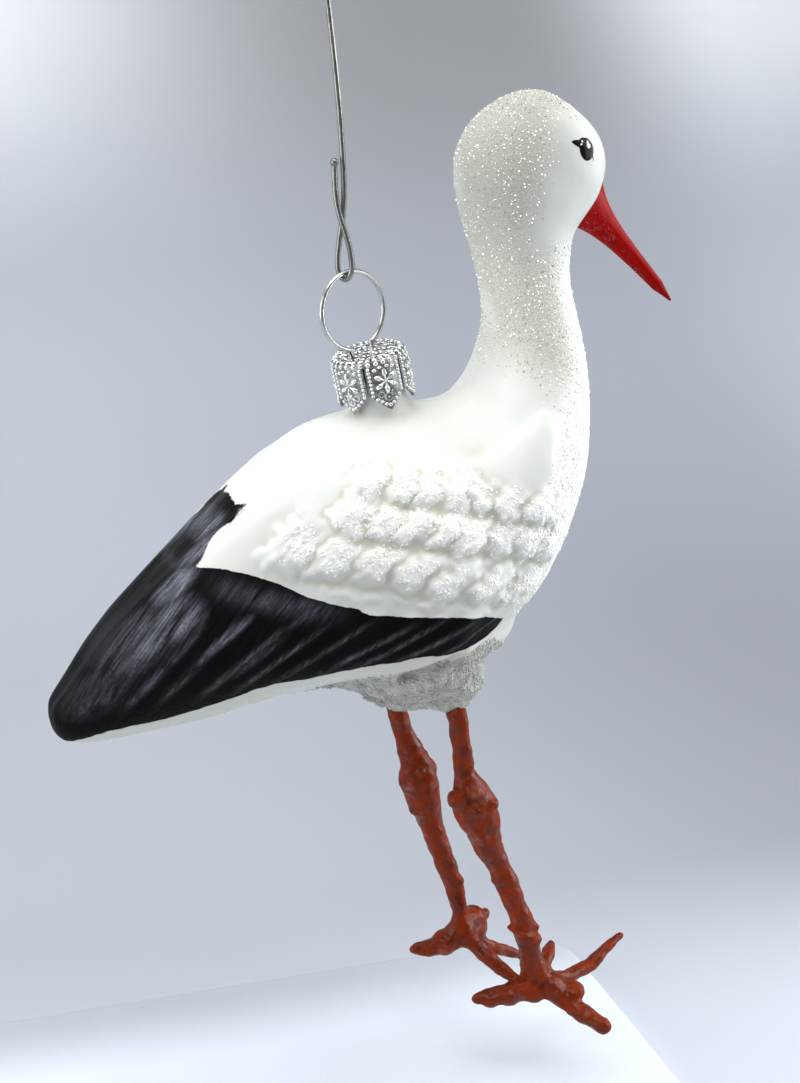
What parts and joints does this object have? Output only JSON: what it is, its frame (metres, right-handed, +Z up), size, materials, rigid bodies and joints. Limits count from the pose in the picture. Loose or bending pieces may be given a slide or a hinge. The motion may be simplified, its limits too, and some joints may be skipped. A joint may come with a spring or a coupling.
{
  "type": "painted glass stork ornament on a display stand",
  "caption": "Blown-glass white stork ornament with black wings, red bill and clay legs, hung by its wire from a swan-neck stand on a flat base.",
  "frame": {"origin": "middle of the underside of the stand's base plate", "axes": "+X is where the bird faces, +Y is its left, +Z is up"},
  "size_m": [0.1186, 0.072, 0.1906],
  "materials": {
    "white_glass": "satin",
    "black_painted_glass": "satin",
    "red_painted_glass": "gloss",
    "eye_enamel": "gloss",
    "stamped_cap": "satin",
    "plated_wire": "satin",
    "red_clay": "satin",
    "stand_paint": "satin",
    "stand_steel": "satin"
  },
  "bodies": {
    "root": {"trunk": "white_glass", "neck": "white_glass", "head": "white_glass", "tail": "black_painted_glass", "wing_left": "black_painted_glass", "wing_right": "black_painted_glass", "bill": "red_painted_glass", "eye_left": "eye_enamel", "eye_right": "eye_enamel", "cap": "stamped_cap", "cap_ring": "plated_wire", "hanger": "plated_wire", "leg_left": "red_clay", "leg_right": "red_clay", "foot_left": "red_clay", "foot_right": "red_clay", "stand_base": "stand_paint", "stand_rod": "stand_steel"}
  },
  "joints": []
}
